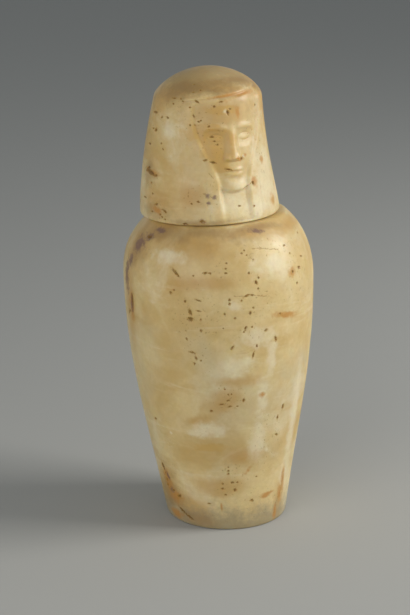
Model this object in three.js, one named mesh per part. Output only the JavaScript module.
// A canopic jar of calcite alabaster, in two pieces: a hollow shouldered jar, and the stopper that
// closes it, carved as a human head in a plain wig.
// Millimetres, +Z up. The origin is on the standing plane, under the middle of the belly.
// The face looks along -Y.

import * as THREE from 'three';

// ---- Driving dimensions of the jar ----
const BODY_HEIGHT = 310;
const BELLY_HEIGHT = 242;
const BELLY_RADIUS = 93.3;
const FOOT_RADIUS = 60.5;
const RIM_RADIUS = 67;
const MOUTH_RADIUS = 45;
const THROAT_DEPTH = 24;
const FLOOR_THICKNESS = 30;
const HOLLOW_RADIUS = 68;
const HEEL_RADIUS = 41; // the hollow's radius where its side meets its floor
const HEEL_ROUND = 8;
const ARRIS = 1.4; // the worn corners of foot, rim and mouth

// ---- Driving dimensions of the lid, with heights counted from its seat on the rim ----
const LID_HEIGHT = 139.7;
const LID_RADIUS = 67.6;
const LID_EDGE = 2.5; // rounding of the lower edge
const LID_UPRIGHT = 9; // the sides stand upright for about this height, and then taper
const LID_TAPER = 0.155; // millimetres of radius lost for each millimetre of height
const TEMPLE_HEIGHT = 113; // where the sides turn into the crown
const TENON_LENGTH = 14;
const TENON_CLEARANCE = 2;
const SEAT_GAP = 0.3;

// ---- How far the hand-cut pieces are out of true, all towards or away from one side ----
const LEAN_TURN = THREE.MathUtils.degToRad(25);
const SIDE = new THREE.Vector2(Math.cos(LEAN_TURN), -Math.sin(LEAN_TURN));
const FOOT_SHIFT = 8.9;
const RIM_SHIFT = -1.2;
const LEAN_BOW = 1.05;
const MOUTH_SHIFT = -5;
const LID_SHIFT = -8.4;
const LID_BOW = 3.8;
const RIM_SLOPE = 0.0315;
const RIM_SLOPE_START = 262; // the jar is level below this height

// ---- The carved head: three equal parts from the band to the chin, on a head 110 long ----
const HEAD_LENGTH = 110;
const BAND_HEIGHT = 118;
const BAND_WIDTH = 8;
const BAND_CLIMB = 6; // millimetres for each radian of turn, because the band was cut crooked
const CHIN = LID_HEIGHT - HEAD_LENGTH;
const THIRD = (BAND_HEIGHT - CHIN) / 3;
const BROW = CHIN + 2 * THIRD;
const NOSE_BASE = CHIN + THIRD;
const EYE = BROW - 0.3 * THIRD;
const MOUTH = NOSE_BASE - THIRD / 3;
const EYE_SPACING = 15.5; // from the middle line to the middle of an eye
const BROW_OPENING = 38; // half the width between the sides of the wig at the brow
const NECK_OPENING = 16; // and at the neck, between its lappets
const WIG_STEP = 2; // how far the wig stands out from the face
const JAW_HALF_WIDTH = 26;
const JAW_RISE = 22; // from the chin up to the corners of the jaw
const NECK_DEPTH = 3.8; // how far the stone is cut back under the chin

// ---- Fineness of the facets ----
const JAR_COLUMNS = 54;
const LID_FRONT = { half: 60, step: 3 }; // degrees
const LID_BACK_STEP = 10;
const ROW_STEP = 4;
const FINE_ROW_STEP = 2;

const { smoothstep, lerp, degToRad } = THREE.MathUtils;

// A soft hump, 1 high in the middle and 0 from half its width outwards.
function hump(x, middle, halfWidth) {
  const t = Math.min(1, Math.abs(x - middle) / halfWidth);
  return (1 - t * t) ** 2;
}

// Radius and height pairs along a Bezier curve, without its first point.
function bezier(start, control1, control2, end, count) {
  const points = [start, control1, control2, end].map((pair) => new THREE.Vector2(...pair));
  const curve = new THREE.CubicBezierCurve(...points);
  return curve.getPoints(count).slice(1).map((point) => [point.x, point.y]);
}

// A point at a radius and a turn round a middle that lies off the axis towards SIDE.
// A turn of 0 is the front.
function around(middle, radius, turn) {
  return [SIDE.x * middle + radius * Math.sin(turn), SIDE.y * middle - radius * Math.cos(turn)];
}

// How much higher the sloping rim is at a place than in its middle.
function rimRise(x, y) {
  return RIM_SLOPE * (x * SIDE.x + y * SIDE.y - RIM_SHIFT);
}

// A closed skin over rings of points. The first and last rings have no radius, and each
// becomes one pole point.
function ringSkin(rings, turns, place) {
  const columns = turns.length;
  const positions = [];
  for (const ring of rings) {
    for (const turn of ring.radius === 0 ? [0] : turns) {
      positions.push(...place(ring, turn));
    }
  }
  const at = (row, column) => 1 + (row - 1) * columns + (column % columns);
  const lastRow = rings.length - 2;
  const topPole = 1 + lastRow * columns;
  const faces = [];
  for (let column = 0; column < columns; column++) {
    faces.push(0, at(1, column + 1), at(1, column));
    for (let row = 1; row < lastRow; row++) {
      const [low, lowNext] = [at(row, column), at(row, column + 1)];
      const [high, highNext] = [at(row + 1, column), at(row + 1, column + 1)];
      faces.push(low, lowNext, highNext, low, highNext, high);
    }
    faces.push(at(lastRow, column), at(lastRow, column + 1), topPole);
  }
  const geometry = new THREE.BufferGeometry();
  geometry.setAttribute('position', new THREE.Float32BufferAttribute(positions, 3));
  geometry.setIndex(faces);
  geometry.computeVertexNormals();
  return geometry;
}

// ---- The jar: ground round outside, drilled and scraped hollow inside ----

// The middle of the jar at a height, as a distance towards SIDE from the middle of the belly.
function jarMiddle(height) {
  const leanLine = (h) => {
    const t = h / BODY_HEIGHT;
    return lerp(FOOT_SHIFT, RIM_SHIFT, t) - LEAN_BOW * 4 * t * (1 - t);
  };
  return leanLine(height) - leanLine(BELLY_HEIGHT);
}

// The hollow follows the lean of the jar, and its mouth was drilled off the middle of the rim.
function hollowMiddle(height) {
  const towardsMouth = smoothstep(height, BELLY_HEIGHT - 40, BODY_HEIGHT - THROAT_DEPTH);
  return lerp(jarMiddle(height), MOUTH_SHIFT, towardsMouth);
}

function jarOutsideRings() {
  const rim = [RIM_RADIUS, BODY_HEIGHT - ARRIS];
  const outline = [
    [0, 0],
    [FOOT_RADIUS - ARRIS, 0],
    [FOOT_RADIUS, ARRIS],
    ...bezier([FOOT_RADIUS, ARRIS], [73.3, 87], [BELLY_RADIUS, 156], [BELLY_RADIUS, BELLY_HEIGHT], 8),
    ...bezier([BELLY_RADIUS, BELLY_HEIGHT], [BELLY_RADIUS, 252], [96, 284], rim, 8),
    [RIM_RADIUS - ARRIS, BODY_HEIGHT],
  ];
  return outline.map(([radius, height]) => ({ radius, height, middle: jarMiddle(height) }));
}

function jarInsideRings() {
  const throat = BODY_HEIGHT - THROAT_DEPTH;
  const widest = throat - 60;
  const belly = [HOLLOW_RADIUS, widest];
  const heel = [HEEL_RADIUS, FLOOR_THICKNESS + HEEL_ROUND];
  const outline = [
    [MOUTH_RADIUS + ARRIS, BODY_HEIGHT],
    [MOUTH_RADIUS, BODY_HEIGHT - ARRIS],
    [MOUTH_RADIUS, throat],
    ...bezier([MOUTH_RADIUS, throat], [HOLLOW_RADIUS, throat - 6], [HOLLOW_RADIUS, throat - 40], belly, 4),
    ...bezier(belly, [HOLLOW_RADIUS, 150], [HEEL_RADIUS + 7, 85], heel, 4),
    [HEEL_RADIUS - HEEL_ROUND, FLOOR_THICKNESS],
    [0, FLOOR_THICKNESS],
  ];
  return outline.map(([radius, height]) => ({ radius, height, middle: hollowMiddle(height) }));
}

function placeOnJar({ radius, height, middle }, turn) {
  const [x, y] = around(middle, radius, turn);
  return [x, y, height + rimRise(x, y) * smoothstep(height, RIM_SLOPE_START, BODY_HEIGHT - ARRIS)];
}

function makeJar(material) {
  const turns = Array.from({ length: JAR_COLUMNS }, (_, column) => (2 * Math.PI * column) / JAR_COLUMNS);
  const rings = [...jarOutsideRings(), ...jarInsideRings()];
  const jar = new THREE.Mesh(ringSkin(rings, turns, placeOnJar), material);
  jar.name = 'jar';
  return jar;
}

// ---- The carving of the lid: each function gives how far it moves the surface out, in millimetres ----

// The band of the wig across the forehead: a flat fillet over a cut line, which die out at the sides.
function bandRelief(turn, height) {
  const low = BAND_HEIGHT + BAND_CLIMB * turn;
  const front = 1 - smoothstep(Math.abs(turn), degToRad(38), degToRad(66));
  const high = low + BAND_WIDTH;
  const fillet = smoothstep(height, low, low + 2) * (1 - smoothstep(height, high - 1, high + 3));
  return front * (0.7 * fillet - 1.1 * hump(height, low, 3));
}

// Brow hollows with closed soft lids, nose, cheeks, lips and chin, as calm and worn as the stone.
function featureRelief(across, height) {
  const side = Math.abs(across);
  const noseRun = THREE.MathUtils.clamp((BROW - height) / THIRD, 0, 1);
  const noseFoot = smoothstep(height, NOSE_BASE - 1.5, NOSE_BASE + 3);
  const noseRoot = 1 - smoothstep(height, BROW - 5, BROW + 8);
  const nose = lerp(1.3, 4.4, noseRun) * hump(across, 0, lerp(6, 10.5, noseRun)) * noseFoot * noseRoot;
  const eyeHollow = -2.3 * hump(side, EYE_SPACING, 13.5) * hump(height, EYE, 10);
  const eyeBall = 1.4 * hump(side, EYE_SPACING, 9.5) * hump(height, EYE, 5.2);
  const cheek = 1.1 * hump(side, 20, 14) * hump(height, NOSE_BASE + 3, 18);
  const mouthMound = hump(across, 0, 18) * hump(height, MOUTH + 1, 13);
  const lips = hump(across, 0, 11) * (hump(height, MOUTH + 2.3, 3) + hump(height, MOUTH - 2.6, 3.6));
  const chin = 1.7 * hump(across, 0, 14) * hump(height, CHIN + 6.5, 8.5);
  return nose + eyeHollow + eyeBall + cheek + mouthMound + lips + chin;
}

// The face and neck, sunk between the sides of the wig. The jaw is an arc, and the neck is cut back
// under it.
function faceRelief(across, height, bandLow) {
  const side = Math.abs(across);
  const opening = lerp(NECK_OPENING, BROW_OPENING, smoothstep(height, CHIN + 4, BROW + 10));
  const underBand = 1 - smoothstep(height, bandLow - 4, bandLow);
  const inOpening = underBand * (1 - smoothstep(side, opening - 4, opening + 1.5));
  const jawArc = 1 - Math.sqrt(Math.max(0, 1 - (side / JAW_HALF_WIDTH) ** 2));
  const jawLine = CHIN + JAW_RISE * jawArc;
  const onFace = smoothstep(height, jawLine - 2, jawLine + 3);
  const sunk = -WIG_STEP * lerp(0.3, 1, smoothstep(side / opening, 0.25, 0.95));
  const neck = -lerp(0.4, 1, smoothstep(height, 0, CHIN)) * NECK_DEPTH;
  return inOpening * lerp(neck, sunk + featureRelief(across, height), onFace);
}

function headRelief(turn, radius, height) {
  return bandRelief(turn, height) + faceRelief(turn * radius, height, BAND_HEIGHT + BAND_CLIMB * turn);
}

// ---- The lid: a solid tapering dome with a tenon below that drops into the jar's mouth ----

function lidMiddle(height) {
  return LID_SHIFT - LID_BOW * Math.sin((Math.PI * height) / LID_HEIGHT);
}

function tenonRings() {
  const radius = MOUTH_RADIUS - TENON_CLEARANCE;
  const outline = [
    [0, -TENON_LENGTH],
    [radius - ARRIS, -TENON_LENGTH],
    [radius, ARRIS - TENON_LENGTH],
    [radius, 0],
  ];
  return outline.map(([r, height]) => ({ radius: r, height, middle: MOUTH_SHIFT }));
}

// Rows are closer together where the chin, the mouth and the band are cut.
function flankHeights() {
  const heights = [];
  let height = LID_EDGE;
  while (height < TEMPLE_HEIGHT) {
    heights.push(height);
    const isFine = Math.abs(height - CHIN) < 5 || height > BAND_HEIGHT - 8;
    height += isFine ? FINE_ROW_STEP : ROW_STEP;
  }
  return heights;
}

// The sides of the dome: upright at the seat, running into an even taper up to the temples.
function flankRadius(height) {
  return LID_RADIUS - LID_TAPER * (height - LID_UPRIGHT * (1 - Math.exp(-height / LID_UPRIGHT)));
}

function domeRings() {
  const flank = [...flankHeights(), TEMPLE_HEIGHT].map((height) => [flankRadius(height), height]);
  const temple = flank.at(-1);
  const outline = [
    [LID_RADIUS - LID_EDGE, 0],
    [LID_RADIUS - 0.3 * LID_EDGE, 0.3 * LID_EDGE],
    ...flank,
    ...bezier(temple, [50.4, 120], [31, LID_HEIGHT], [0, LID_HEIGHT], 12),
  ];
  return outline.map(([radius, height]) => ({ radius, height, middle: lidMiddle(height) }));
}

function placeOnLid({ radius, height, middle }, turn) {
  const carved = height >= LID_EDGE && radius > 0;
  const [x, y] = around(middle, carved ? radius + headRelief(turn, radius, height) : radius, turn);
  const levelling = THREE.MathUtils.clamp(1 - height / LID_HEIGHT, 0, 1);
  return [x, y, BODY_HEIGHT + SEAT_GAP + height + rimRise(x, y) * levelling];
}

// Columns are close together across the carved front and wide apart behind.
function lidTurns() {
  const degrees = [];
  for (let turn = -LID_FRONT.half; turn < LID_FRONT.half; turn += LID_FRONT.step) {
    degrees.push(turn);
  }
  for (let turn = LID_FRONT.half; turn < 360 - LID_FRONT.half; turn += LID_BACK_STEP) {
    degrees.push(turn);
  }
  // A turn past the back is the same place as a negative turn, which the carving is measured in.
  return degrees.map((turn) => degToRad(turn > 180 ? turn - 360 : turn));
}

function makeLid(material) {
  const lid = new THREE.Mesh(ringSkin([...tenonRings(), ...domeRings()], lidTurns(), placeOnLid), material);
  lid.name = 'lid';
  return lid;
}

// ---- The stone ----
const alabaster = () => new THREE.MeshStandardMaterial({ color: 0xcdb283, roughness: 0.42, metalness: 0 });

const canopicJar = new THREE.Group();
canopicJar.add(makeJar(alabaster()), makeLid(alabaster()));

export default canopicJar;
